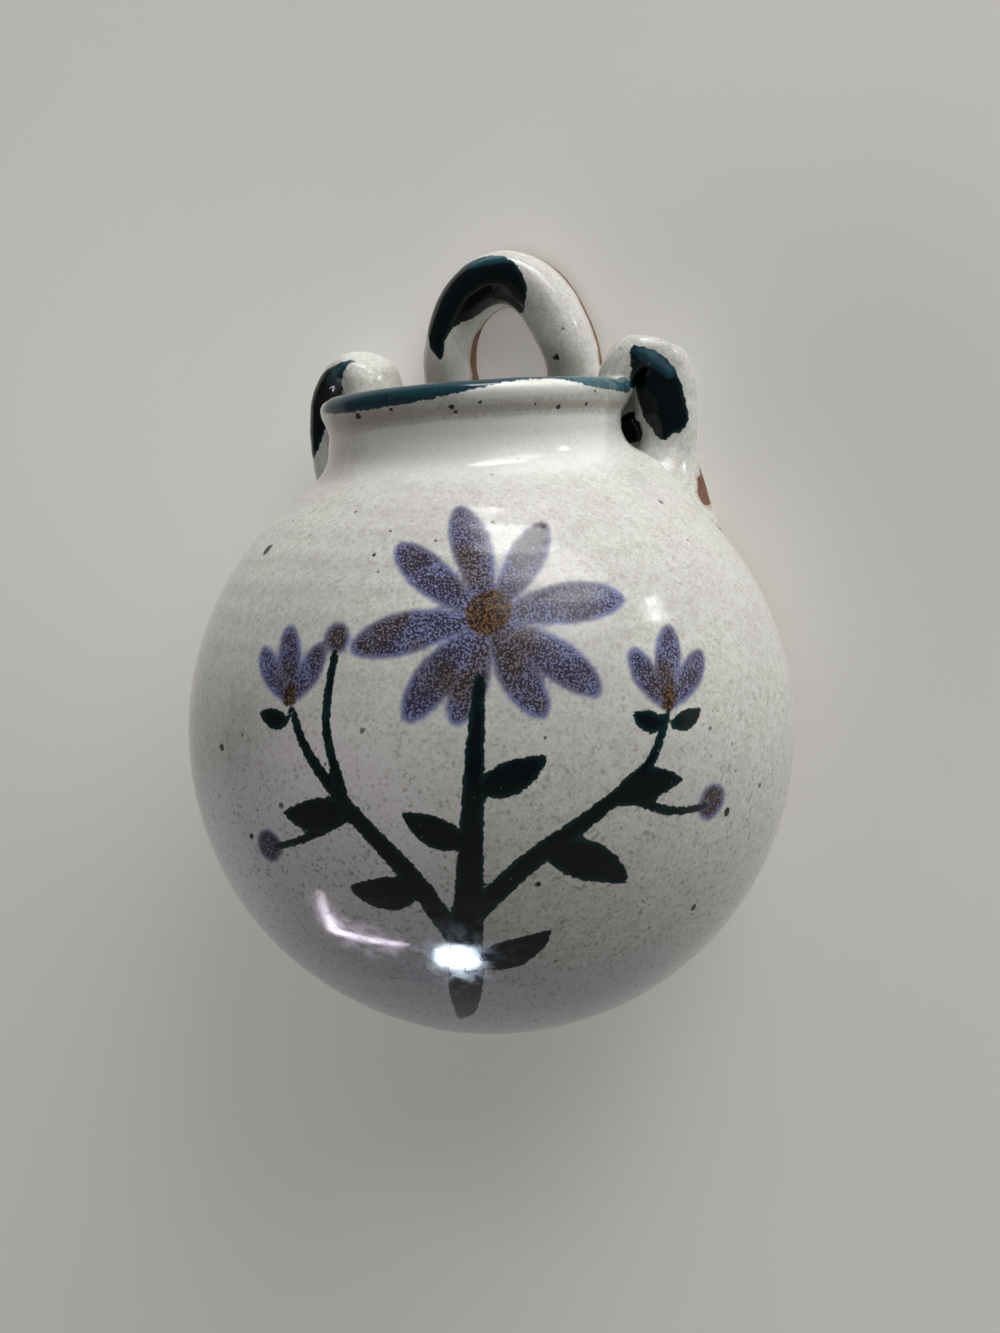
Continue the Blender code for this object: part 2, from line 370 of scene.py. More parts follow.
# The spray: an open bloom, two half-open ones, round buds, and their stems and leaves. A petal
# takes its angle, length, width and bend, and a stroke's knots are (across, up, half width).
BLOOM_HEART = (1.5, 24.0)
LEFT_HEART = (-31.5, 13.0)
RIGHT_HEART = (29.0, 8.5)
bloom = [petal(BLOOM_HEART, *shape) for shape in (
    (96, 19.5, 6.8, 1.6), (54, 18.0, 6.2, 1.2), (12, 20.5, 7.0, -1.8), (-30, 18.5, 6.4, -2.2),
    (-68, 15.0, 6.0, 1.4), (140, 18.5, 6.6, -1.6), (182, 20.0, 7.0, 2.0), (222, 17.5, 6.4, 1.8),
    (254, 14.5, 5.8, -1.2),
)]
half_open = [petal(heart, *shape, start=0.8) for heart, *shape in (
    (LEFT_HEART, 90, 12.5, 5.0, 0.8), (LEFT_HEART, 132, 11.0, 4.6, -1.4), (LEFT_HEART, 48, 10.5, 4.6, 1.4),
    (RIGHT_HEART, 84, 13.0, 5.2, -0.8), (RIGHT_HEART, 40, 11.5, 4.8, 1.4),
    (RIGHT_HEART, 126, 10.5, 4.6, -1.4),
)]
stems = [
    [(-8.6, -49.5, 0.5), (-7.2, -45.5, 2.0), (-6.2, -37, 2.9), (-4.4, -22, 2.4), (-2.6, -6, 1.8),
     (-1.4, 5, 1.4), (-0.2, 15, 0.9)],
    [(-5.4, -28, 1.9), (-12, -15, 1.7), (-21, -4, 1.3), (-28, 5, 0.9), (-31, 12, 0.7)],
    [(-4.4, -22, 1.8), (5, -13, 1.7), (16, -6, 1.3), (25, 0.5, 0.9), (28.6, 7.5, 0.7)],
]
leaves = [
    leaf((-5.6, -31), 24, 15, 6.4, -1.8), leaf((-11, -16), 182, 12, 6.2, 1.4),
    leaf((7, -11), -30, 16, 6.6, 1.5), leaf((-3.0, -9), 152, 11, 5.0, 0.8),
    leaf((-2.2, -1), 22, 12, 5.2, -0.8), leaf((-22, -3), 188, 12, 5.6, 1.2),
    leaf((18, -5), 6, 13, 5.6, 1.5), leaf((-31.6, 10), 162, 6.5, 3.6, 0.6),
    leaf((28.6, 6), 155, 6.5, 3.4, 0.6), leaf((29.2, 6), 18, 6.5, 3.4, -0.6),
]
round_buds = [
    [(-38.5, -12.0, 2.6), (-38.0, -11.2, 2.8)],
    [(36.5, -8.6, 2.6), (37.2, -7.8, 2.9)],
    [(-22.5, 22.5, 2.2), (-22.8, 23.2, 2.4)],
]
tendrils = [
    [(-22, -5, 0.8), (-30, -9, 0.7), (-37, -11.5, 0.6)],
    [(20, -3.4, 1.0), (28, -7.6, 0.8), (35.5, -8.6, 0.6)],
    [(-22, -2, 0.9), (-24.5, 9, 0.8), (-23, 20.5, 0.7)],
]
heart_dabs = [
    [(1.5, 25.0, 3.4), (2.2, 25.6, 3.2)],
    [(-31.5, 13.6, 1.3), (-31.2, 15.5, 1.0)],
    [(29.2, 9.2, 1.3), (29.6, 11.2, 1.0)],
]
# Teal slip along the lip: (degrees round from the front, height, half width)
LIP_BAND = (
    (-52, 59.9, 1.1), (-30, 59.7, 1.7), (-5, 59.9, 1.6), (10, 60.3, 1.3), (22, 60.9, 1.1), (34, 61.5, 0.85),
    (48, 61.6, 0.8), (58, 61.0, 0.9), (68, 60.4, 1.25), (85, 60.1, 1.35), (105, 59.8, 1.1),
)
MM_PER_DEGREE = LIP_RADIUS * math.pi / 180
# Painted shade: dark teal laid deep in the gap between the neck and the right lug, where shade falls
SHADE_IN_LUG_GAP = [[(24.8, 15.8, 53.0, 2.6), (26.6, 14.4, 53.6, 2.7), (28.8, 14.2, 52.4, 2.4)]]


def mark(piece, field, depths):
    """Stores how deep each point lies inside one kind of finish."""
    layer = piece.data.attributes.new(field, "FLOAT", "POINT")
    layer.data.foreach_set("value", np.asarray(depths, np.float32))


def unpainted(piece, fields):
    """Keeps a piece clear of some kinds of brushwork."""
    for field in fields:
        mark(piece, field, np.full(len(piece.data.vertices), CLEAR))


at = points_of(body)
from_axis = np.hypot(at[:, 0], at[:, 1])
azimuth = np.degrees(np.arctan2(at[:, 0], -at[:, 1]))
height = at[:, 2]
plane = painters_plane(at)
on_skin = np.linalg.norm(at, axis=1) > GLOBE_RADIUS - 2
on_front = (at @ front > -10) & (height < FILLET_HEIGHT) & on_skin
at_lip = (height > FILLET_HEIGHT + 2) & (from_axis > LIP_RADIUS - 3.4)


def on_globe(many):
    """How deep each of the body's points lies inside strokes on the painter's plane."""
    depths = np.full(len(at), CLEAR)
    depths[on_front] = strokes(plane[on_front], many)
    return depths


band = np.full(len(at), CLEAR)
lip_places = np.stack((azimuth * MM_PER_DEGREE, height), 1)
band[at_lip] = strokes(lip_places[at_lip], [[(a * MM_PER_DEGREE, z, w) for a, z, w in LIP_BAND]])
# The lip's band is drawn bluer from 40 degrees round to the right, where it lies thinner and catches light:
# partly thinner slip, partly painted sheen
lip_band_paleness = np.full(len(at), CLEAR)
lip_band_paleness[at_lip] = np.clip((azimuth[at_lip] - 40) / 20, 0.0, 0.9)
petal_middles = on_globe([[(x, y, w * 0.6) for x, y, w in knots] for knots in bloom + half_open])
bud_middles = np.minimum(on_globe(round_buds) * 4 - 1, WELL_INSIDE)
mark(body, "violet", on_globe(bloom + half_open + round_buds))
mark(body, "loaded", np.maximum(petal_middles, bud_middles))
mark(body, "iron", on_globe(heart_dabs))
# The teal field also carries the painted shade in the right lug's gap
mark(body, "teal", np.maximum.reduce((on_globe(stems + leaves + tendrils), band, strokes(at, SHADE_IN_LUG_GAP))))
mark(body, "thin_and_sheen", lip_band_paleness)

# Painted light: the neck just above the shoulder and the lip's front are painted whiter. Painted shade
# darkens the glaze in a band just under the lip
neck_light_paint = np.clip((56.0 - height) / 1.6, 0, 1) * eased((height - 42) / 9)
neck_light_paint *= eased((azimuth + 50) / 45) * eased((105 - azimuth) / 40)
lip_shade_reach = 1.0 + 0.8 * eased((20 - azimuth) / 40)
lip_shade_paint = np.clip(1.2 - np.abs(height - 56.6) / lip_shade_reach, 0, 1)
lip_highlight_paint = np.clip(1.4 - np.abs(height - 59.3) / 1.4, 0, 1)
lip_highlight_paint *= eased((azimuth - 5) / 20) * eased((70 - azimuth) / 15)
mark(body, "neck_lip_light_and_shade", np.where(from_axis > NECK_RADIUS - 2, neck_light_paint + lip_highlight_paint - lip_shade_paint, 0.0))
mark(body, "bare", np.where(at[:, 1] > BACK_PLANE - 0.3, WELL_INSIDE, CLEAR))
put_points(body, lean(smeared_clay(at)))


def add_node(tree, kind, inputs, **settings):
    """Adds a node to a tree. Each input is another node's output or a plain value."""
    made = tree.nodes.new(kind)
    for key, value in settings.items():
        setattr(made, key, value)
    for key, value in inputs.items():
        if isinstance(value, bpy.types.NodeSocket):
            tree.links.new(value, made.inputs[key])
        elif value is not None:
            made.inputs[key].default_value = value
    return made


class Recipe:
    """The nodes of one finish. Grains, cells and heights are in mm."""

    def __init__(self, name):
        self.material = bpy.data.materials.new(name)
        self.material.use_nodes = True
        self.tree = self.material.node_tree
        self.shader = self.tree.nodes["Principled BSDF"]
        self.place = self.tree.nodes.new("ShaderNodeTexCoord").outputs["Object"]

    def node(self, kind, inputs, **settings):
        return add_node(self.tree, kind, inputs, **settings)

    def field(self, name):
        """What mark() stored on the piece."""
        return self.node("ShaderNodeAttribute", {}, attribute_name=name).outputs["Fac"]

    def grain(self, size, detail=2.0, rough=0.5):
        values = {"Vector": self.place, "Scale": 1 / (size * MM), "Detail": detail, "Roughness": rough}
        return self.node("ShaderNodeTexNoise", values).outputs["Fac"]

    def maths(self, operation, a, b=None, c=None):
        return self.node("ShaderNodeMath", {0: a, 1: b, 2: c}, operation=operation).outputs[0]

    def times(self, a, b):
        return self.maths("MULTIPLY", a, b)

    def plus(self, a, b):
        return self.maths("ADD", a, b)

    def wobble(self, size, amount, detail=2.0, rough=0.5):
        """Noise about 0."""
        return self.times(self.plus(self.grain(size, detail, rough), -0.5), amount)

    def ramp(self, value, low, high, start=0.0, end=1.0):
        """Runs smoothly from start to end as the value goes from low to high."""
        values = {"Value": value, "From Min": low, "From Max": high, "To Min": start, "To Max": end}
        return self.node("ShaderNodeMapRange", values, interpolation_type="SMOOTHSTEP").outputs["Result"]

    def blend(self, share, under, over):
        """Lays one colour over another. The mix node's own colour sockets are 6 and 7."""
        colours = {key: tone if isinstance(tone, bpy.types.NodeSocket) else (*tone, 1.0)
                   for key, tone in ((6, under), (7, over))}
        return self.node("ShaderNodeMix", {0: share, **colours}, data_type="RGBA").outputs[2]

    def chance_spots(self, cell, channel, rare, most):
        """Depth inside round spots, in shares of a cell: only cells whose chance passes rare have one."""
        values = {"Vector": self.place, "Scale": 1 / (cell * MM), "Randomness": 1.0}
        cells = self.node("ShaderNodeTexVoronoi", values)
        chance = self.node("ShaderNodeSeparateColor", {"Color": cells.outputs["Color"]}).outputs[channel]
        return self.maths("SUBTRACT", self.ramp(chance, rare, 1.0, -0.03, most), cells.outputs["Distance"])

    def distance_from(self, place):
        """How far each point lies from a place, both in the frame's metres."""
        ends = {0: self.place, 1: Vector(place)}
        return self.node("ShaderNodeVectorMath", ends, operation="DISTANCE").outputs["Value"]

    def height(self):
        """How high in mm each point stands above the globe's centre."""
        split = self.node("ShaderNodeSeparateXYZ", {"Vector": self.place})
        return self.maths("MULTIPLY_ADD", split.outputs["Z"], 1 / MM, -GLOBE_CENTRE[2] / MM)

    def set(self, name, value):
        if isinstance(value, bpy.types.NodeSocket):
            self.tree.links.new(value, self.shader.inputs[name])
        else:
            self.shader.inputs[name].default_value = value

    def bump(self, height, strength):
        made = self.node("ShaderNodeBump", {"Height": height, "Distance": MM, "Strength": strength})
        self.set("Normal", made.outputs["Normal"])


# Large iron specks, as (place, radius in mm): on the painter's plane, and about the lip and loop
IRON_SPECKS = [
    ((-43.1, 44.0), 1.1), ((-48.8, 5.0), 0.7), ((-42.4, -10.4), 0.6), ((40.6, -10.8), 0.75),
    ((6.5, -16.4), 0.5), ((34.8, -28.6), 0.7), ((12.0, 40.0), 0.35), ((-17.0, 37.0), 0.4),
]
HIGH_SPECKS = [
    ((-11.1, -24.3, 57.2), 0.6), ((-4.0, -26.8, 57.7), 0.35), ((6.3, -26.3, 57.2), 0.5),
    ((6.8, -25.8, 56.5), 0.35), ((10.8, -25.2, 57.7), 0.3), ((18.4, -20.1, 57.0), 0.3),
    ((21.2, -16.6, 56.4), 0.42), ((24.6, -11.7, 56.8), 0.35), ((10.6, 17.9, 67.5), 0.42),
    ((11.3, 17.9, 67.6), 0.5),
]
# Painted light and shade on the glaze as soft tinted patches. Darker pinkish and lilac tints are painted
# shade on the globe's left and lower side, under the lip and on the loop's legs. Paler lilac tints are
# painted reflected light low on the front: (place in mm, reach, colour)
LIGHT_AND_SHADE_TINTS = (
    ((-45.0, -25.0, 5.0), 34.0, (0.575, 0.54, 0.545)),
    ((-15.0, -46.0, -27.0), 34.0, (0.575, 0.545, 0.62)),
    ((6.0, -40.0, -40.0), 26.0, (0.565, 0.545, 0.64)),
    ((-17.0, -20.0, 54.5), 17.0, (0.62, 0.55, 0.535)),
    ((-17.0, 17.0, 66.0), 10.0, (0.42, 0.40, 0.365)),
    ((8.5, 16.5, 66.0), 7.0, (0.30, 0.285, 0.265)),
    ((-27.0, -46.0, -12.0), 20.0, (0.84, 0.80, 0.87)),
    ((27.0, -27.0, -41.0), 20.0, (0.48, 0.455, 0.485)),
    ((-6.0, -53.3, -6.5), 27.0, (0.87, 0.83, 0.865)),
)
# Colours of the glaze, the iron in it, the brushwork and the clay
MILKY_WHITE = (0.655, 0.675, 0.635)
GREYED_WHITE = (0.61, 0.60, 0.605)
MOTTLE = (0.475, 0.462, 0.415)
# Painted light on the neck and the lip's front, and painted shade under the lip
PAINTED_LIGHT_WHITE = (0.82, 0.84, 0.82)
PAINTED_SHADE_UNDER_LIP = (0.42, 0.35, 0.32)
IRON_DUST = (0.29, 0.27, 0.235)
IRON_DOT = (0.06, 0.048, 0.04)
IRON_SPECK = (0.02, 0.015, 0.012)
COBALT_WASH = (0.20, 0.215, 0.40)
GREY_WASH = (0.155, 0.155, 0.24)
BROWN_WASH = (0.16, 0.13, 0.115)
COBALT_GRIT = (0.032, 0.026, 0.045)
BROWN_GRIT = (0.036, 0.024, 0.016)
RUST = (0.165, 0.09, 0.042)
BURNT_RUST = (0.018, 0.013, 0.012)
TEAL_SLIP = (0.005, 0.032, 0.032)
THICK_SLIP = (0.0008, 0.0040, 0.0055)
THIN_AND_SHEEN_SLIP = (0.011, 0.046, 0.064)
PALEST_SLIP_AND_SHEEN = (0.075, 0.17, 0.21)
PINHOLE = (0.22, 0.29, 0.31)
RED_CLAY = (0.185, 0.086, 0.044)
BURNT_CLAY = (0.105, 0.048, 0.026)
PALE_CLAY = (0.20, 0.115, 0.07)
SMOKED_CLAY = (0.085, 0.042, 0.026)
TOASTED_GLAZE = (0.36, 0.22, 0.13)
GLOSS = (0.09, 0.18)
CLAY_ROUGHNESS = 0.85
GLAZE_IOR = 1.4


def on_the_globe(across, up):
    """The point of the globe's surface at a place on the painter's plane, in the frame's metres."""
    angle = math.hypot(across, up) / GLOBE_RADIUS
    unit = (across * across_front + up * up_front) / math.hypot(across, up)
    return (front * math.cos(angle) + unit * math.sin(angle)) * GLOBE_RADIUS * MM + GLOBE_CENTRE


def white_ground(glaze, fine, painted_neck_lip_light_and_shade):
    """The white glaze: mottled, with painted light and shade in tinted patches, painted light on the neck and
    the lip's front, painted shade under the lip, and dusted with iron.
    """
    colour = glaze.blend(glaze.ramp(glaze.grain(26, 3), 0.42, 0.66), MILKY_WHITE, GREYED_WHITE)
    mottle = glaze.times(glaze.grain(0.5, 3, 0.75), 0.6)
    mottle = glaze.plus(mottle, glaze.times(glaze.grain(1.7, 3, 0.6), 0.4))
    colour = glaze.blend(glaze.ramp(mottle, 0.40, 0.60, 0.0, 0.7), colour, MOTTLE)
    # Painted light and shade: tinted patches that darken or lighten the glaze where shade or reflected light
    # falls
    for place, reach, tone in LIGHT_AND_SHADE_TINTS:
        away = glaze.distance_from(np.array(place) * MM + GLOBE_CENTRE)
        colour = glaze.blend(glaze.ramp(away, reach * MM, 0.3 * reach * MM, 0.0, 0.7), colour, tone)
    # Painted light whitens the neck and the lip's front; painted shade browns the band under the lip
    colour = glaze.blend(glaze.ramp(painted_neck_lip_light_and_shade, 0.0, 0.9, 0.0, 0.9), colour, PAINTED_LIGHT_WHITE)
    colour = glaze.blend(glaze.ramp(painted_neck_lip_light_and_shade, -0.15, -0.9, 0.0, 0.6), colour, PAINTED_SHADE_UNDER_LIP)
    dust = glaze.times(glaze.ramp(fine, 0.52, 0.64), glaze.ramp(glaze.grain(2.4), 0.34, 0.6, 0.15, 0.9))
    dust = glaze.times(dust, glaze.ramp(glaze.height(), 18, -12, 0.45, 0.85))
    dust = glaze.times(dust, glaze.ramp(painted_neck_lip_light_and_shade, 0.0, 0.9, 1.0, 0.35))
    return glaze.blend(dust, colour, IRON_DUST)


def iron_dots(glaze, fine):
    """Small ragged dots strewn over the glaze in two sizes."""
    ragged = glaze.times(glaze.plus(fine, -0.5), 0.14)
    wide = glaze.ramp(glaze.plus(glaze.chance_spots(5.2, "Red", 0.55, 0.10), ragged), -0.02, 0.03)
    small = glaze.ramp(glaze.plus(glaze.chance_spots(2.6, "Red", 0.55, 0.11), ragged), -0.02, 0.03)
    return glaze.maths("MAXIMUM", wide, small)


def large_specks(glaze):
    """How deep in mm each point lies inside the nearest large speck."""
    depth = CLEAR
    specks = [(on_the_globe(*place), radius) for place, radius in IRON_SPECKS]
    specks += [(np.array(place) * MM + GLOBE_CENTRE, radius) for place, radius in HIGH_SPECKS]
    for place, radius in specks:
        inside = glaze.maths("MULTIPLY_ADD", glaze.distance_from(place), -1 / MM, radius)
        depth = glaze.maths("MAXIMUM", inside, depth)
    return depth


def petal_grit(glaze):
    """Grains of oxide that didn't melt, thicker in clusters and where the brush was loaded."""
    cluster = glaze.ramp(glaze.grain(4.5), 0.34, 0.6, 0.0, 0.05)
    loaded = glaze.maths("MAXIMUM", glaze.times(glaze.field("loaded"), 0.012), 0.0)
    return glaze.ramp(glaze.plus(glaze.grain(0.36, 1.5, 0.6), glaze.plus(cluster, loaded)), 0.475, 0.54)


def petal_wash(glaze, depth, grit):
    """A thin wash of cobalt, browned in patches, with the grit in it."""
    wash = glaze.blend(glaze.ramp(glaze.grain(6.5, 3), 0.38, 0.62), COBALT_WASH, GREY_WASH)
    brown = glaze.ramp(glaze.plus(glaze.grain(9), glaze.times(glaze.field("loaded"), 0.03)), 0.5, 0.66)
    wash = glaze.blend(glaze.times(brown, 0.45), wash, BROWN_WASH)
    shown = glaze.times(grit, glaze.ramp(depth, 0.0, 1.1, 0.0, 0.95))
    return glaze.blend(shown, wash, glaze.blend(brown, COBALT_GRIT, BROWN_GRIT))


def teal_slip(glaze):
    """Dark teal slip: near black where thick, bluer where thinner and under a painted sheen, with pinholes.
    """
    thick = glaze.ramp(glaze.plus(glaze.field("teal"), glaze.wobble(3.0, 1.2, 3)), -0.3, 0.9)
    slip = glaze.blend(thick, TEAL_SLIP, THICK_SLIP)
    # Bluer, paler slip: thinner slip on the lip, and painted sheen on the tops of the loop's and lugs' dabs
    thin_and_sheen = glaze.plus(glaze.field("thin_and_sheen"), glaze.wobble(1.6, 1.6, 3, 0.6))
    slip = glaze.blend(glaze.ramp(thin_and_sheen, -0.8, 0.1), slip, THIN_AND_SHEEN_SLIP)
    slip = glaze.blend(glaze.ramp(thin_and_sheen, 0.2, 1.6), slip, PALEST_SLIP_AND_SHEEN)
    pinholes = glaze.ramp(glaze.chance_spots(1.5, "Green", 0.6, 0.10), -0.03, 0.03, 0.0, 0.5)
    return glaze.blend(pinholes, slip, PINHOLE)


def bare_clay(glaze):
    """The clay of the body where no glaze covers it: red-brown, burnt, paler and smoked in patches."""
    clay = glaze.blend(glaze.ramp(glaze.grain(0.9, 4, 0.65), 0.38, 0.62), RED_CLAY, BURNT_CLAY)
    clay = glaze.blend(glaze.ramp(glaze.grain(20, 4, 0.6), 0.42, 0.62, 0.0, 0.55), clay, PALE_CLAY)
    return glaze.blend(glaze.ramp(glaze.grain(7, 3), 0.52, 0.68, 0.0, 0.5), clay, SMOKED_CLAY)


def speckled_glaze():
    """One recipe for the whole pot. What is marked on a piece says where each finish shows."""
    glaze = Recipe("speckled_white_glaze")
    fine = glaze.grain(0.75, 3, 0.6)
    # Where the neck and lip carry painted light and shade
    painted_neck_lip_light_and_shade = glaze.plus(glaze.field("neck_lip_light_and_shade"), glaze.wobble(2.4, 0.5))
    colour = white_ground(glaze, fine, painted_neck_lip_light_and_shade)
    dots = iron_dots(glaze, fine)
    colour = glaze.blend(glaze.times(dots, glaze.ramp(painted_neck_lip_light_and_shade, 0.0, 0.9, 0.8, 0.12)), colour, IRON_DOT)

    edge_grain = glaze.plus(glaze.grain(0.9, 3, 0.6), -0.5)
    violet = glaze.plus(glaze.field("violet"), glaze.times(edge_grain, 0.7))
    petals = glaze.ramp(violet, -0.5, 0.45)
    grit = petal_grit(glaze)
    colour = glaze.blend(petals, colour, petal_wash(glaze, violet, grit))

    hearts = glaze.ramp(glaze.plus(glaze.field("iron"), glaze.times(edge_grain, 1.5)), -0.4, 0.4)
    rust = glaze.blend(glaze.ramp(glaze.grain(0.42, 2, 0.6), 0.42, 0.53), RUST, BURNT_RUST)
    colour = glaze.blend(hearts, colour, rust)

    teal = glaze.ramp(glaze.plus(glaze.field("teal"), edge_grain), -0.1, 0.1)
    colour = glaze.blend(teal, colour, teal_slip(glaze))

    specks = glaze.ramp(glaze.plus(large_specks(glaze), glaze.times(edge_grain, 1.2)), -0.1, 0.18)
    colour = glaze.blend(specks, colour, IRON_SPECK)

    bareness = glaze.plus(glaze.field("bare"), glaze.wobble(2.6, 2.4, 3))
    bare = glaze.ramp(bareness, -0.15, 0.15)
    colour = glaze.blend(glaze.ramp(bareness, -1.6, -0.2, 0.0, 0.55), colour, TOASTED_GLAZE)
    colour = glaze.blend(bare, colour, bare_clay(glaze))
    glaze.set("Base Color", colour)

    gloss = glaze.ramp(glaze.grain(1.8, 3), 0.35, 0.65, *GLOSS)
    glaze.set("Roughness", glaze.ramp(bare, 0.0, 1.0, gloss, CLAY_ROUGHNESS))
    glaze.set("IOR", GLAZE_IOR)

    # Heights in mm: the glaze's soft skin, sunk grit and specks, raised slip, and sandy clay
    relief = 0.0
    for height_share, amount in (
        (glaze.grain(0.8), 0.008),
        (glaze.grain(4.5), 0.02),
        (glaze.grain(0.3, 1), 0.005),
        (glaze.times(grit, petals), -0.012),
        (glaze.maths("MAXIMUM", dots, specks), -0.03),
        (teal, 0.006),
        (glaze.times(bare, glaze.grain(0.5, 4, 0.7)), 0.25),
        (bare, -0.25),
    ):
        relief = glaze.maths("MULTIPLY_ADD", height_share, amount, relief)
    glaze.bump(relief, strength=0.8)
    return glaze.material


GLAZE = speckled_glaze()
body.data.materials.clear()
body.data.materials.append(GLAZE)
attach(body, "root")
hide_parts("thrown_body")

# Back slab: a rolled round of the same clay, luted over the slice and turned down to the globe's
# curve, so the vase hangs flat. Its face is scraped and left bare, and the glaze ends unevenly
# a little before its edge.
SLAB_FRONT_EDGE = 0.5
SLAB_BACK_EDGE = 1.3
SLAB_ROUNDING = 1.1 * SLAB_BACK_EDGE
SCRAPE_DEPTH = 0.12
SCRAPE_SWIPES = 0.05
GLAZE_LINE = 2.2


def slab_radius(depth):
    """The slab's radius at a depth, a hair under the globe's curve."""
    return math.sqrt((GLOBE_RADIUS - 0.02) ** 2 - depth * depth)


def slab_profile():
    """(distance from the slab's own axis, depth) from the middle of its front to that of its back."""
    near = SEAM_PLANE + SEAM_GAP
    front_turn = near + SLAB_FRONT_EDGE
    back_turn = BACK_PLANE - SLAB_BACK_EDGE
    front_centre = (slab_radius(front_turn) - SLAB_FRONT_EDGE, front_turn)
    back_centre = (slab_radius(back_turn) - SLAB_ROUNDING, back_turn)
    rows = [(r, near) for r in np.linspace(0, slab_radius(near) - SLAB_FRONT_EDGE - 0.3, 40)]
    rows += [tuple(p) for p in curve_points(front_centre, (SLAB_FRONT_EDGE,) * 2, -90, 0, 5)]
    rows += [(slab_radius(y), y) for y in np.linspace(front_turn, back_turn, 12)[1:]]
    rows += [tuple(p) for p in curve_points(back_centre, (SLAB_ROUNDING, SLAB_BACK_EDGE), 0, 90, 8)[1:]]
    rows += [(r, BACK_PLANE) for r in np.linspace(rows[-1][0], 0, 60)[1:]]
    return np.array(rows)


turned, slab_faces = ring_wall(slab_profile(), np.radians(np.arange(0, 360, 1.2)))
slab = clay_piece("back_slab_scraped", turned[:, (0, 2, 1)], [list(reversed(f)) for f in slab_faces])
at = points_of(slab)
radial = np.hypot(at[:, 0], at[:, 2])
scraped = eased(at[:, 1] - BACK_PLANE + 1.0)
swipes = np.sin(at[:, 0] * 0.9 + 0.25 * at[:, 2] + 2.0 * unevenness(at, size=16, seed=6)) * scraped
dished = SCRAPE_DEPTH + 0.1 * unevenness(at, size=14, seed=5) + SCRAPE_SWIPES * swipes
dished *= scraped * eased((radial - 4) / 6 + 0.4)
dished = np.clip(dished, 0, 0.4) * scraped
rim = eased((radial - 44) / 3)
at[:, 1] -= np.clip(dished * (1 - 0.6 * rim), 0, 0.35)
put_points(slab, at)
glaze_end = BACK_PLANE - GLAZE_LINE - 0.7 * unevenness(at * (1, 0, 1), size=9, seed=7)
on_rim = (radial > 40) & (at[:, 1] > SEAM_PLANE + 0.3)
on_back = np.where(at[:, 1] > BACK_PLANE - 1, WELL_INSIDE, -WELL_INSIDE)
mark(slab, "bare", np.where(on_rim, at[:, 1] - glaze_end, on_back))
unpainted(slab, ("violet", "loaded", "iron", "teal", "thin_and_sheen"))
slab.data.set_sharp_from_angle(angle=math.radians(60))
slab.data.materials.append(GLAZE)
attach(slab, "root")
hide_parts("back_slab")

# Hanging loop: a strap of clay arched over and pressed on the back of the rim, with legs that run
# down behind the neck to the shoulder. Its back is cut flat to the wall and has no glaze.
LOOP_CROWN = RIM_TOP + 27.6
LOOP_HALF = 12.5
LOOP_ARCH_RISE = 18.0
LOOP_LEAN = math.tan(math.radians(12))
STRAP_WIDTH = 9.9
LOOP_SHIFT = -0.35
STRAP_DEPTH = 9.8
STRAP_DEPTH_AT_RIM = 7.6
# The strap's front is rounded over a share of its depth, a little squarer than an ellipse, and its
# flanks spread towards the back, in shares of its half width
STRAP_BOW = 0.62
STRAP_SQUARED = 0.92
FLANK_FRONT = 0.985
FLANK_SPREAD = 0.03
UNDER_SKIN = 0.7
skin_line = pot_outside(globe_steps=60, fillet_steps=10, neck_steps=2, lip_steps=6)
skin_line = np.concatenate((skin_line, [(0.0, RIM_TOP)]))


def skin_distance(points):
    """How far points stand outside the pot's skin, its mouth closed, and the way out."""
    place = np.stack((np.hypot(points[:, 0], points[:, 1]), points[:, 2]), 1)
    a, b = skin_line[:-1], skin_line[1:]
    along = b - a
    offset = place[:, None, :] - a[None]
    share = np.clip((offset * along).sum(2) / np.maximum((along * along).sum(1), 1e-9), 0, 1)
    away = offset - share[:, :, None] * along
    gaps = np.hypot(away[:, :, 0], away[:, :, 1])
    nearest = gaps.argmin(1)
    rows = np.arange(len(place))
    gap = gaps[rows, nearest]
    low, high = a[:, 1], b[:, 1]
    crosses = (low <= place[:, 1:2]) != (high <= place[:, 1:2])
    where = a[:, 0] + (place[:, 1:2] - low) * (b[:, 0] - a[:, 0]) / np.where(high == low, 1e-9, high - low)
    inside = ((crosses & (place[:, :1] < where)).sum(1) % 2) == 1
    sign = np.where(inside, -1.0, 1.0)
    way = away[rows, nearest] * sign[:, None] / np.maximum(gap, 1e-9)[:, None]
    unit = points[:, :2] / np.maximum(place[:, :1], 1e-9)
    return gap * sign, np.concatenate((unit * way[:, :1], way[:, 1:]), 1)


def press_on(points, spine, reach, height):
    """Smears a coil's foot out over the pot, and keeps what is under the skin close beneath it."""
    for _ in range(2):
        gap, out = skin_distance(points)
        deep = np.minimum(gap + UNDER_SKIN, 0)
        points = points - out * deep[:, None]
    gap, out = skin_distance(points)
    away = points - spine
    away = unit_rows(away - out * np.einsum("ij,ij->i", away, out)[:, None])
    near = np.clip(1 - np.maximum(gap, 0) / height, 0, 1) ** 2
    return points + away * (near * reach)[:, None]


def swept(line, normals, sides, section):
    """A coil of clay along a line: its points, the line's place for each, and its faces. section gives
    the points of a ring by its number, in mm: (in the line's plane, across it)."""
    count = len(section(0))
    points, spine = [], []
    for i, (place, normal, side) in enumerate(zip(line, normals, sides)):
        points += [place + normal * u + side * v for u, v in section(i)]
        spine += [place] * count
    faces = bands(len(line), count)
    faces.append(list(reversed(range(count))))
    faces.append(list(range((len(line) - 1) * count, len(line) * count)))
    return np.array(points), np.array(spine), faces


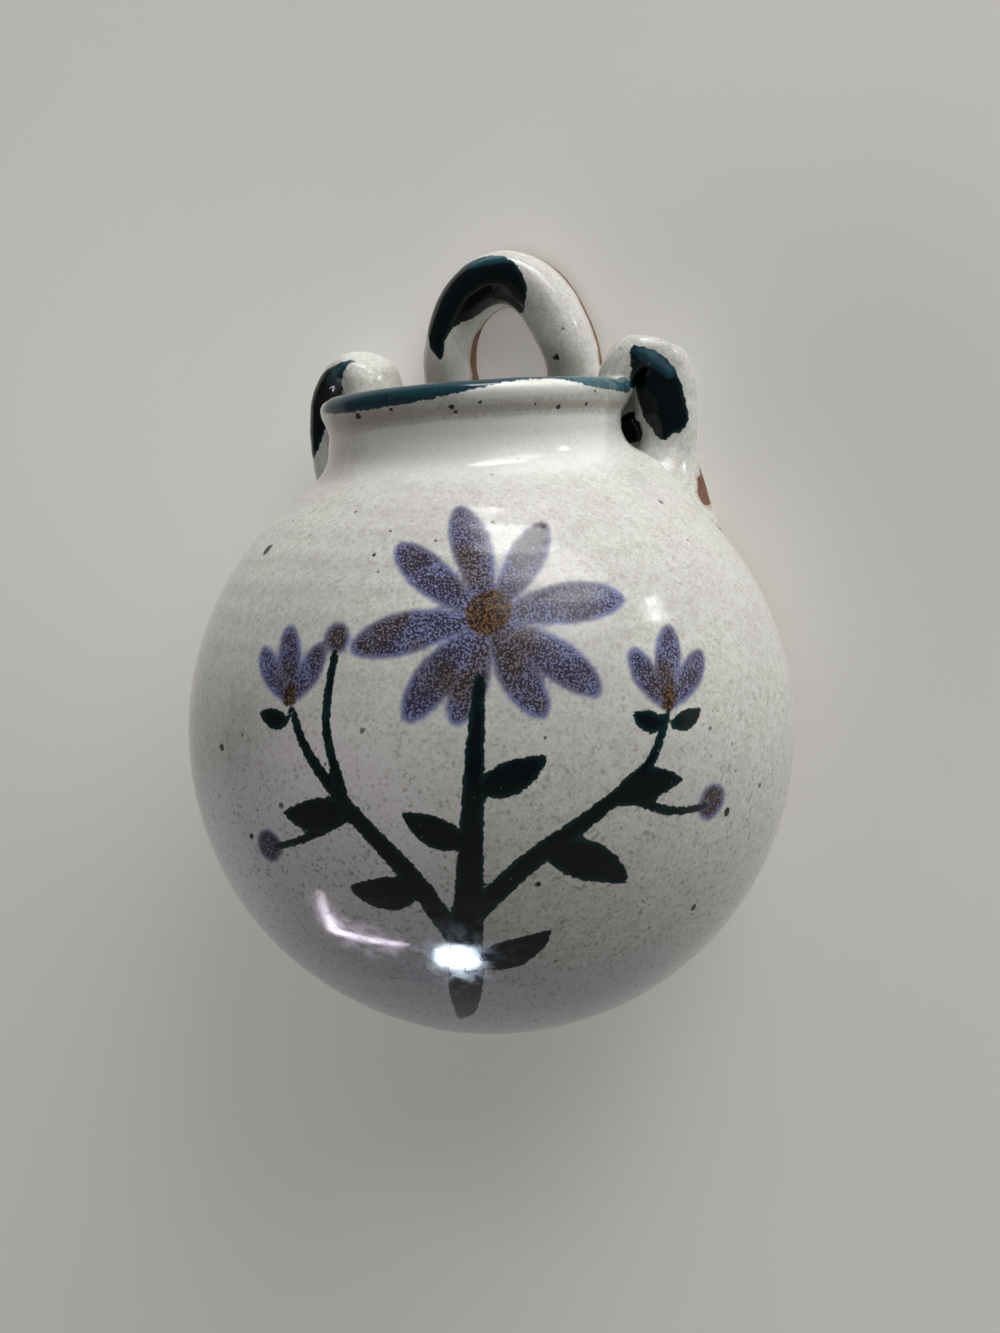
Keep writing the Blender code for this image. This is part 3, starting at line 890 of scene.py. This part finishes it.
def loop_spine():
    """The middle of the strap's width as (across, height): two legs that spread, and the arch."""
    spring = LOOP_CROWN - STRAP_WIDTH / 2 - LOOP_ARCH_RISE
    foot = math.sqrt(GLOBE_RADIUS**2 - BACK_PLANE**2 - (LOOP_HALF + STRAP_WIDTH) ** 2) - 1
    fall = spring - foot
    drop = fall * (1 - np.arange(70) / 70)
    leg = np.stack((LOOP_HALF + LOOP_LEAN * drop * drop / (2 * fall), spring - drop), 1)
    arch = curve_points((0, spring), (LOOP_HALF, LOOP_ARCH_RISE), 0, 180, 110)
    return np.concatenate((leg, arch, leg[::-1] * (-1, 1)))


spine = loop_spine()
spine[:, 0] += LOOP_SHIFT + 0.25 * np.sin(spine[:, 1] * 0.21 + 1.0)
above_rim = spine[:, 1] - RIM_TOP
strap_depths = STRAP_DEPTH_AT_RIM + (STRAP_DEPTH - STRAP_DEPTH_AT_RIM) * eased(above_rim / 9)
strap_depths -= eased(-above_rim / 10)
ahead = unit_rows(np.gradient(spine, axis=0))
line = [np.array((x, BACK_PLANE - d / 2, z)) for (x, z), d in zip(spine, strap_depths)]
normals = [np.array((a[1], 0.0, -a[0])) for a in ahead]
sides = [np.array((0.0, 1.0, 0.0))] * len(line)


def strap_section(index):
    """A rounded front and a flat back, a little wider where it was pressed on."""
    z = spine[index][1]
    half = STRAP_WIDTH / 2 + 0.6 * eased((RIM_TOP + 7 - z) / 7) + 0.12 * math.sin(index * 0.11)
    deep = strap_depths[index]
    bow = deep * STRAP_BOW
    turns = np.linspace(0, math.pi, 37)
    nose_in = bow - deep / 2 - np.sin(turns) ** STRAP_SQUARED * bow
    nose_across = np.cos(turns) * FLANK_FRONT
    nose_across = np.sign(nose_across) * np.abs(nose_across) ** STRAP_SQUARED * half
    nose = np.stack((nose_across, nose_in), 1)
    flank = np.linspace(0, 1, 9)[1:]
    flank_across = -half * (FLANK_FRONT + FLANK_SPREAD * flank)
    left = np.stack((flank_across, bow - deep / 2 + flank * (deep - bow)), 1)
    back_across = np.linspace(-1, 1, 15)[1:-1] * half * (FLANK_FRONT + FLANK_SPREAD)
    back = np.stack((back_across, np.full(13, deep / 2)), 1)
    right = left[::-1] * (-1, 1)
    return np.concatenate((nose, left, back, right))[::-1]


# The dab of teal over the arch, paler on top as a painted sheen, and how wide the trimmed back edge stays
# bare
LOOP_DABS = [
    [(-12.2, 17.2, 69.6, 0.6), (-12.8, 17.2, 73.4, 2.1), (-11.6, 17.4, 77.6, 3.7), (-8.4, 17.8, 81.0, 4.9),
     (-4.2, 18.0, 82.4, 5.3), (0.0, 18.0, 82.4, 5.0), (2.6, 17.8, 81.0, 3.6), (3.6, 17.8, 80.0, 2.6)],
    [(-8.6, 18.0, 77.4, 1.6), (-3.6, 19.6, 78.2, 2.4), (1.0, 19.6, 78.2, 2.4), (3.6, 18.6, 78.6, 2.3)],
    [(10.9, 17.5, 67.4, 0.6), (11.2, 17.5, 67.8, 0.4)],
]
LOOP_SHEEN_PAINT = [[(-6.0, 18.5, 86.4, 0.5), (-1.0, 18.5, 87.4, 1.5), (2.0, 18.5, 86.6, 0.8)]]
BARE_EDGE = 1.6
BARE_EDGE_MORE_AT_LEFT = 1.7
BARE_EDGE_LESS_UNDER_ARCH = 1.4

points, core, faces = swept(line, normals, sides, strap_section)
lumps = 0.16 * unevenness(points, size=6, seed=11) + 0.05 * unevenness(points, size=2.2, seed=12)
points += lumps[:, None] * unit_rows(points - core)
# The opening sits a little to the left of the strap's middle
ring_normals = np.repeat(normals, len(points) // len(line), 0)
towards_opening = np.clip(-np.einsum("ij,ij->i", points - core, ring_normals) / 4, 0, 1)
high_up = eased((points[:, 2] - RIM_TOP - 4) / 10)
opening_shift = np.where(core[:, 0] < 0, -0.75, 0.35 - 1.45 * high_up)
points[:, 0] += opening_shift * towards_opening
points = press_on(points, core, reach=1.6, height=2.6)
points[:, 1] = np.minimum(points[:, 1], BACK_PLANE - 0.02)
loop = clay_piece("hanging_loop_strap", points, faces)
at = points_of(loop)
inner_left = eased((-at[:, 0] - 3) / 3) * eased((at[:, 0] - core[:, 0]) / 2) * eased((77 - at[:, 2]) / 6)
under_arch = towards_opening * (1 - inner_left)
bare_width = BARE_EDGE + BARE_EDGE_MORE_AT_LEFT * inner_left - BARE_EDGE_LESS_UNDER_ARCH * under_arch
bare_width += 0.5 * unevenness(at, size=5, seed=13)
from_wall = at[:, 1] - BACK_PLANE
mark(loop, "bare", np.where(from_wall > -0.15, WELL_INSIDE, from_wall + bare_width))
mark(loop, "teal", strokes(at, LOOP_DABS))
mark(loop, "thin_and_sheen", strokes(at, LOOP_SHEEN_PAINT))
unpainted(loop, ("violet", "loaded", "iron"))
loop.data.materials.append(GLAZE)
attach(loop, "root")
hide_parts("hanging_loop")

# Side lugs: a pulled coil on each side, pressed into the neck under the lip, bent over above the
# rim and drawn down to the shoulder, where its foot is smeared on with a wet finger. A dab of
# dark teal crosses each one, and the foot's far edge was trimmed bare.

# Each lug bends in an upright plane. Its path is (distance from the axis, height, half thickness,
# half width) from inside the neck to under the shoulder. Its foot flares by (reach, height) on the
# sides that face out, in, and away from the wall, and a web may fill the rear of its gap.
LUGS = {
    "right_lug": {
        "azimuth": 117.0,
        "seed": 21,
        "path": [
            (23.4, 56.4, 1.6, 4.6), (25.0, 57.8, 2.8, 5.4), (26.3, 60.0, 3.2, 5.9), (27.1, 62.6, 3.4, 6.1),
            (28.8, 65.4, 4.0, 6.4), (31.8, 66.6, 4.4, 6.5), (34.5, 65.0, 5.3, 6.6), (35.5, 60.6, 6.3, 6.8),
            (35.7, 55.5, 5.7, 6.9), (35.9, 50.5, 4.9, 7.0), (36.0, 46.5, 4.9, 7.2), (36.4, 42.0, 5.2, 7.2),
            (36.4, 36.5, 5.2, 7.2),
        ],
        "foot": {"outer": (4.6, 7.0), "near": (5.0, 6.0), "inner": (3.0, 5.0)},
        "web": 4.5,
    },
    "left_lug": {
        "azimuth": -117.0,
        "seed": 31,
        "path": [
            (24.2, 53.0, 1.4, 4.4), (25.4, 56.0, 2.9, 5.6), (26.4, 60.0, 3.8, 6.3), (27.1, 64.2, 4.0, 6.5),
            (28.3, 67.2, 4.0, 6.5), (31.0, 68.2, 4.0, 6.5), (34.8, 66.8, 4.0, 6.5), (38.0, 63.6, 4.1, 6.5),
            (40.0, 59.6, 4.2, 6.4), (40.5, 55.0, 4.2, 6.2), (39.8, 50.6, 4.1, 6.0), (38.5, 46.4, 4.1, 6.0),
            (37.4, 42.0, 4.2, 6.2), (36.6, 37.0, 4.2, 6.2),
        ],
        "foot": {"outer": (1.0, 3.0), "near": (2.4, 3.0), "inner": (3.0, 4.0)},
        "web": 0.0,
    },
}
# Strokes as knots of (x, y, z, half width): the dab of teal over each lug, its paler top as a painted
# sheen, and where the edge of the foot was trimmed bare
LUG_DABS = {
    "right_lug": [
        [(28.6, 7.7, 66.6, 0.9), (29.2, 8.1, 64.0, 1.6), (29.4, 8.8, 61.0, 2.2)],
        [(29.8, 7.8, 65.8, 1.3), (31.2, 8.9, 64.2, 2.2), (32.6, 9.8, 61.6, 3.0)],
        [(29.8, 9.2, 63.4, 2.2), (31.6, 9.8, 60.4, 4.2), (32.6, 9.9, 57.3, 4.2), (33.7, 9.8, 55.1, 3.7),
         (35.4, 10.4, 54.4, 2.0)],
        [(32.8, 9.8, 55.0, 3.0), (32.8, 9.6, 53.2, 2.2), (32.7, 9.5, 51.6, 1.2)],
    ],
    "left_lug": [
        [(-26.4, 8.2, 69.6, 0.6), (-29.2, 8.0, 67.6, 1.7), (-32.8, 9.6, 65.5, 2.9), (-35.8, 11.3, 62.8, 3.4),
         (-38.4, 12.7, 58.6, 3.0), (-39.0, 12.9, 55.0, 2.0), (-38.8, 13.2, 52.8, 0.8)],
    ],
}
LUG_SHEEN_PAINT = {
    "right_lug": [[(29.4, 7.6, 66.6, 0.8), (31.6, 8.6, 65.6, 1.5), (34.4, 10.4, 62.8, 1.2)]],
    "left_lug": [[(-26.6, 8.0, 69.6, 1.2), (-29.6, 8.2, 68.0, 1.5), (-32.0, 9.0, 66.4, 0.8)]],
}
LUG_BARE = {
    "right_lug": [
        [(38.2, 16.6, 46.2, 0.5), (39.3, 14.0, 43.0, 1.7), (39.5, 12.0, 41.0, 2.4), (39.3, 9.6, 39.8, 1.2)],
    ],
    "left_lug": [[(-37.5, 19.6, 44.0, 0.5), (-38.2, 20.2, 41.5, 1.2)]],
}
LUG_SMOOTHINGS = 90
FOOT_TOP = 56.0
WEB_TOP = 63.0
COIL_SQUARED = 0.9
# Inside a tight bend the coil is squeezed to this share of the bend's radius
BEND_SHARE = 0.92
ring_turns = np.linspace(0, 2 * math.pi, 64, endpoint=False)


def round_edged(values, half):
    """Cosines or sines squared up a little, at a half width."""
    return np.sign(values) * np.abs(values) ** COIL_SQUARED * half


for node, lug in LUGS.items():
    turn = math.radians(lug["azimuth"])
    outward = np.array((math.sin(turn), -math.cos(turn), 0.0))
    side = np.cross((0.0, 0.0, 1.0), outward)
    near = -math.copysign(1.0, side[1])
    run = brush_path(lug["path"], 13)
    for _ in range(LUG_SMOOTHINGS):
        run[1:-1] = (run[:-2] + 2 * run[1:-1] + run[2:]) / 4
    ahead = np.gradient(run[:, :2], axis=0)
    spacing = np.linalg.norm(ahead, axis=1)
    ahead /= spacing[:, None]
    bending = np.gradient(np.unwrap(np.arctan2(ahead[:, 1], ahead[:, 0]))) / spacing
    tight = BEND_SHARE / np.maximum(np.abs(bending), 1e-3)
    sway = 0.25 * np.sin(run[:, 1] * 0.3 + lug["seed"])
    line = [outward * r[0] + side * s + np.array((0, 0, r[1])) for r, s in zip(run, sway)]
    normals = [outward * a[1] - np.array((0, 0, a[0])) for a in ahead]

    def coil_section(index):
        """A round-edged coil, thinner inside a tight bend, with the web in the rear of its gap."""
        half, wide = run[index, 2:]
        u = round_edged(np.cos(ring_turns), half)
        v = round_edged(np.sin(ring_turns), wide)
        inside_bend = u * np.sign(bending[index]) > 0
        u = np.where(inside_bend, np.sign(u) * np.minimum(np.abs(u), tight[index]), u)
        if index > len(run) / 2:
            web = eased((WEB_TOP - run[index, 1]) / 4) * eased((-v * near - 0.5) / 4)
            u = u + np.where(u > 0, lug["web"] * web, 0)
        return np.stack((u, v), 1)

    points, core, faces = swept(line, normals, [side] * len(line), coil_section)
    away = unit_rows(points - core)
    lumps = 0.3 * unevenness(points, size=7, seed=lug["seed"])
    lumps += 0.08 * unevenness(points, size=2.4, seed=lug["seed"] + 1)
    points = points + away * lumps[:, None]
    facing = {
        "outer": np.clip(away @ outward, 0, 1) ** 2,
        "inner": np.clip(-(away @ outward), 0, 1) ** 2,
        "near": np.clip(away @ side * near, 0, 1) ** 2,
    }
    reach = 0.4 + sum(facing[k] * lug["foot"][k][0] for k in facing)
    height = 1.5 + sum(facing[k] * lug["foot"][k][1] for k in facing)
    foot = core[:, 2] < FOOT_TOP
    points[~foot] = press_on(points[~foot], core[~foot], reach=1.2, height=1.6)
    points[foot] = press_on(points[foot], core[foot], reach[foot], height[foot])
    points[:, 1] = np.minimum(points[:, 1], BACK_PLANE - 0.05)
    coil = clay_piece(node + "_coil", points, faces)
    at = points_of(coil)
    back_edge = at[:, 1] - (BACK_PLANE - 1.5)
    # The lug's teal field also carries the painted shade in the right lug's gap
    mark(coil, "teal", strokes(at, LUG_DABS[node] + SHADE_IN_LUG_GAP))
    mark(coil, "thin_and_sheen", strokes(at, LUG_SHEEN_PAINT[node]))
    mark(coil, "bare", np.maximum(strokes(at, LUG_BARE[node]), back_edge))
    unpainted(coil, ("violet", "loaded", "iron"))
    coil.data.materials.append(GLAZE)
    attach(coil, "root")
    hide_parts(node)

# Stage: a plain pale wall that the vase hangs on, a grey floor well below, and soft daylight from
# above. The camera stands a little to the right, as the photograph's did.

# Sizes are in the frame's metres. The wall and the floor glow a little by themselves.
WALL_TONE = (0.90, 0.885, 0.86)
WALL_GLOW = 0.169
WALL_GAP = 0.0006
WALL_TOP = 3.0
STAGE_SIDE = 4.0
FLOOR_TONE = (0.24, 0.235, 0.235)
FLOOR_GLOW = 0.04
FLOOR_HEIGHT = -0.9
FLOOR_FRONT = -5.0
FLOOR_BACK = 3.0
# Light and shade that linger on the wall round the vase: (place, reach, share of the tone)
WALL_SHADES = (
    ((-0.10, 0.0, -0.03), 0.11, 1.085),
    ((0.052, 0.0, -0.036), 0.085, 0.83),
    ((-0.02, 0.0, -0.160), 0.050, 0.90),
)


def shaded(tone, share):
    return tuple(part * share for part in tone)


def matt_paint(name, tone, glow, shades):
    """A matt paint, faintly mottled, with light and shade laid over it in places."""
    paint = Recipe(name)
    mottled = paint.ramp(paint.grain(180, 3), 0.35, 0.65)
    colour = paint.blend(mottled, tone, shaded(tone, 0.975))
    for place, reach, share in shades:
        near = paint.ramp(paint.distance_from(place), reach, 0.1 * reach)
        colour = paint.blend(near, colour, shaded(tone, share))
    paint.set("Base Color", colour)
    paint.set("Roughness", 0.9)
    paint.set("Specular IOR Level", 0.0)
    paint.set("Emission Color", colour)
    paint.set("Emission Strength", glow)
    return paint


def clear_from_behind(paint):
    """Lets the eye through the back of a sheet, so the vase's own back can be seen."""
    facing = paint.node("ShaderNodeNewGeometry", {}).outputs["Backfacing"]
    clear = paint.node("ShaderNodeBsdfTransparent", {}).outputs[0]
    either = paint.node("ShaderNodeMixShader", {0: facing, 1: paint.shader.outputs[0], 2: clear})
    out = paint.tree.nodes["Material Output"]
    paint.tree.links.new(either.outputs[0], out.inputs["Surface"])


def flat_sheet(name, corners, paint):
    mesh = bpy.data.meshes.new(name)
    mesh.from_pydata(corners, [], [(0, 1, 2, 3)])
    mesh.materials.append(paint.material)
    sheet = bpy.data.objects.new(name, mesh)
    bpy.context.scene.collection.objects.link(sheet)
    sheet.visible_diffuse = False
    return sheet


wall_paint = matt_paint("wall_paint", WALL_TONE, WALL_GLOW, WALL_SHADES)
clear_from_behind(wall_paint)
wall = flat_sheet("wall", [
    (-STAGE_SIDE, WALL_GAP, FLOOR_HEIGHT), (STAGE_SIDE, WALL_GAP, FLOOR_HEIGHT),
    (STAGE_SIDE, WALL_GAP, WALL_TOP), (-STAGE_SIDE, WALL_GAP, WALL_TOP),
], wall_paint)
wall.visible_shadow = False
flat_sheet("floor", [
    (-STAGE_SIDE, FLOOR_FRONT, FLOOR_HEIGHT), (STAGE_SIDE, FLOOR_FRONT, FLOOR_HEIGHT),
    (STAGE_SIDE, FLOOR_BACK, FLOOR_HEIGHT), (-STAGE_SIDE, FLOOR_BACK, FLOOR_HEIGHT),
], matt_paint("floor_paint", FLOOR_TONE, FLOOR_GLOW, ()))

# The sky lights the vase mostly from the wall's side and from above, since neither sheet throws soft
# light back at it. To the camera and in the glaze the sky itself looks plain and dark.
SKY_LIGHT = (1.0, 0.99, 0.97)
SKY_TONE = (0.09, 0.09, 0.092)
LIGHT_LEVEL = 0.488
LIGHT_FROM = Vector((-0.06, 0.92, 0.35))
world = bpy.data.worlds.new("daylight")
bpy.context.scene.world = world
world.use_nodes = True
sky = world.node_tree
sky.nodes.clear()
way = add_node(sky, "ShaderNodeTexCoord", {}).outputs["Generated"]
toward = add_node(sky, "ShaderNodeVectorMath", {0: way, 1: LIGHT_FROM}, operation="DOT_PRODUCT")
levels = {0: toward.outputs["Value"], 1: LIGHT_LEVEL, 2: LIGHT_LEVEL}
level = add_node(sky, "ShaderNodeMath", levels, operation="MULTIPLY_ADD").outputs[0]
soft = add_node(sky, "ShaderNodeBackground", {"Color": (*SKY_LIGHT, 1), "Strength": level})
plain = add_node(sky, "ShaderNodeBackground", {"Color": (*SKY_TONE, 1), "Strength": 1.0})
seen = 0.0
rays = add_node(sky, "ShaderNodeLightPath", {}).outputs
for ray in ("Is Camera Ray", "Is Glossy Ray", "Is Transmission Ray"):
    seen = add_node(sky, "ShaderNodeMath", {0: rays[ray], 1: seen}, operation="MAXIMUM").outputs[0]
shown = add_node(sky, "ShaderNodeMixShader", {0: seen, 1: soft.outputs[0], 2: plain.outputs[0]})
add_node(sky, "ShaderNodeOutputWorld", {"Surface": shown.outputs[0]})

CAMERA_PLACE = Vector((0.08446, -0.25531, -0.03345))
CAMERA_TURN = Euler([math.radians(a) for a in (82.162, 3.566, 19.294)])
view = CAMERA_TURN.to_matrix()

# Lamps round the globe: name, direction in the camera's frame (right, up, towards the camera),
# distance, size, power, colour, and the way that the lamp's width lies in the same frame
ROOM_LAMPS = (
    ("skylight", (0.30, 0.92, 0.25), 1.5, (1.2, 1.2), 16.8, (1.0, 0.985, 0.96), (1, 0, 0)),
    ("room", (0.34, 0.70, 0.62), 1.5, (1.0, 1.0), 6.0, (1.0, 0.985, 0.96), (1, 0, 0)),
)
# These are seen only as gleams in the glaze
GLEAMS = (
    ("window", (0.13, 0.985, 0.12), 1.4, (0.70, 0.9), 11.5, (0.97, 0.985, 1.0), (1, 0, 0)),
    ("side_window", (0.783, 0.588, 0.22), 1.4, (0.12, 0.20), 1.7, (0.98, 0.985, 1.0), (1, 0, 0)),
    ("low_gleam", (-0.15, -0.985, 0.062), 0.735, (0.135, 0.17), 2.6, (0.78, 0.90, 1.0), (1, 0, 0)),
    ("gleam_edge", (-0.15, -0.985, 0.062), 0.76, (0.175, 0.21), 0.3, (0.32, 0.52, 1.0), (1, 0, 0)),
    ("low_streak", (-0.495, -0.86, -0.06), 0.9, (0.36, 0.062), 1.15, (0.90, 0.82, 1.0), (0.68, -0.40, 0.62)),
    ("streak_end", (-0.650, -0.748, -0.085), 0.9, (0.24, 0.05), 0.55, (0.94, 0.86, 1.0), (0.5, -0.38, -0.78)),
)


def lamp(name, toward_camera_frame, distance, size, energy, colour, along):
    """A soft oval lamp that looks at the globe's centre."""
    data = bpy.data.lights.new(name, "AREA")
    data.shape = "ELLIPSE"
    data.size, data.size_y = size
    data.energy = energy
    data.color = colour
    made = bpy.data.objects.new(name, data)
    bpy.context.scene.collection.objects.link(made)
    direction = (view @ Vector(toward_camera_frame)).normalized()
    upward = direction.cross(view @ Vector(along)).normalized()
    made.location = Vector(GLOBE_CENTRE) + direction * distance
    made.rotation_euler = Matrix((upward.cross(direction), upward, direction)).transposed().to_euler()
    return made


for values in ROOM_LAMPS:
    lamp(*values)
for values in GLEAMS:
    lamp(*values).visible_diffuse = False

SENSOR_HEIGHT = 36.0
FOCAL_LENGTH_IN_PIXELS = 1330
FRAME_HEIGHT_IN_PIXELS = 1333
camera_data = bpy.data.cameras.new("camera")
camera_data.sensor_fit = "VERTICAL"
camera_data.sensor_height = SENSOR_HEIGHT
camera_data.lens = SENSOR_HEIGHT * FOCAL_LENGTH_IN_PIXELS / FRAME_HEIGHT_IN_PIXELS
camera_data.clip_start = 0.01
camera_data.clip_end = 50.0
camera = bpy.data.objects.new("camera", camera_data)
bpy.context.scene.collection.objects.link(camera)
camera.location = CAMERA_PLACE
camera.rotation_euler = CAMERA_TURN
bpy.context.scene.camera = camera
bpy.context.scene.view_settings.view_transform = "Standard"
